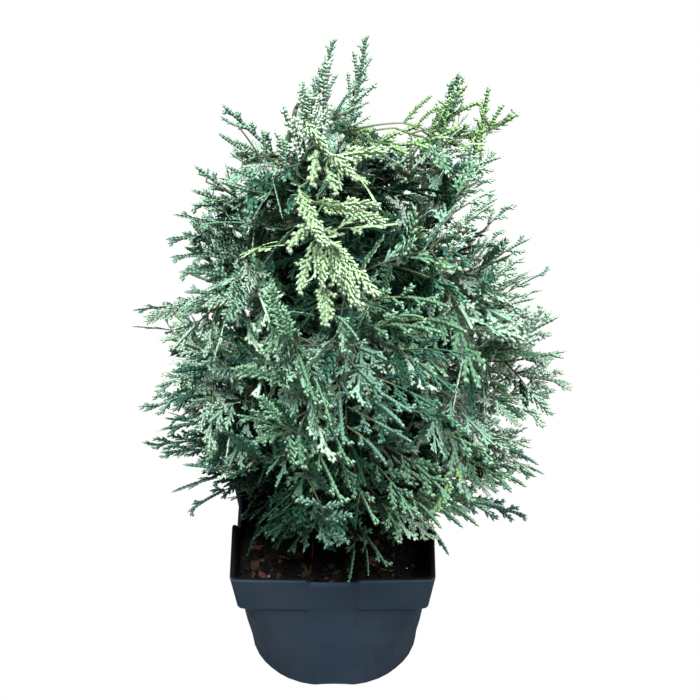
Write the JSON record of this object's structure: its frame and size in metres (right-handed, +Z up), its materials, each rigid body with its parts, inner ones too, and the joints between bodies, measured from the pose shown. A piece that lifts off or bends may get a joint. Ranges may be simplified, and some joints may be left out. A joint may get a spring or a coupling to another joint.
{
  "type": "potted false cypress",
  "caption": "Young false cypress shrub with flat blue-green sprays on leaning leaders, growing in soil in a small square plastic nursery pot.",
  "frame": {"origin": "middle of the bounding box's underside, on the floor that the pot stands on", "axes": "+Z up, +X to the right and +Y away from the viewer when the plant is seen from the side that the picture shows"},
  "size_m": [0.1804, 0.1519, 0.321],
  "materials": {
    "foliage": "matt blue-green scale leaves, darker inside the crown and yellow-green at the tips",
    "foliage_pale": "matt pale yellow-green scale leaves on a yellowish shoot",
    "bark": "rough red-brown bark with fine lengthwise fissures",
    "young_bark": "smoother red-brown young bark",
    "pot_plastic": "dark blue-grey plastic with a soft sheen and faint dusty blotches",
    "soil": "rough moist near-black peat with bark chips"
  },
  "bodies": {
    "root": {"crest_sprays_2": "foliage", "crown_front": "foliage", "crown_left": "foliage", "crown_right": "foliage", "crown_side": "foliage", "fall_high_left": "foliage", "fall_high_middle": "foliage", "fall_high_middle_bough": "young_bark", "fall_high_right": "foliage", "fall_left": "foliage", "fall_middle": "foliage", "fall_middle_bough": "young_bark", "fall_right": "foliage", "fall_wide_left": "foliage", "high_sprays_2": "foliage", "high_sprays_3": "foliage", "high_sprays_4": "foliage", "low_bough_2": "young_bark", "low_bough_4": "young_bark", "low_sprays_2": "foliage", "low_sprays_3": "foliage", "low_sprays_4": "foliage", "low_sprays_6": "foliage", "middle_bough_2": "young_bark", "middle_bough_4": "young_bark", "middle_leader": "bark", "middle_sprays_2": "foliage", "middle_sprays_3": "foliage", "middle_sprays_4": "foliage", "middle_sprays_6": "foliage", "pale_shoot": "foliage_pale", "pale_shoot_low": "foliage_pale", "pot": "pot_plastic", "right_leader": "bark", "side_left": "foliage", "side_left_high": "foliage", "side_left_low": "foliage", "side_right": "foliage", "side_right_high": "foliage", "side_right_low": "foliage", "skirt_sprays_2": "foliage", "skirt_sprays_3": "foliage", "skirt_sprays_4": "foliage", "skirt_sprays_5": "foliage", "skirt_sprays_6": "foliage", "soil": "soil", "tip_left": "foliage", "tip_middle": "foliage", "tip_right": "foliage", "trunk": "bark", "upper_bough_1": "young_bark", "upper_bough_4": "young_bark", "upper_sprays_1": "foliage", "upper_sprays_2": "foliage", "upper_sprays_3": "foliage", "upper_sprays_4": "foliage"}
  },
  "joints": []
}
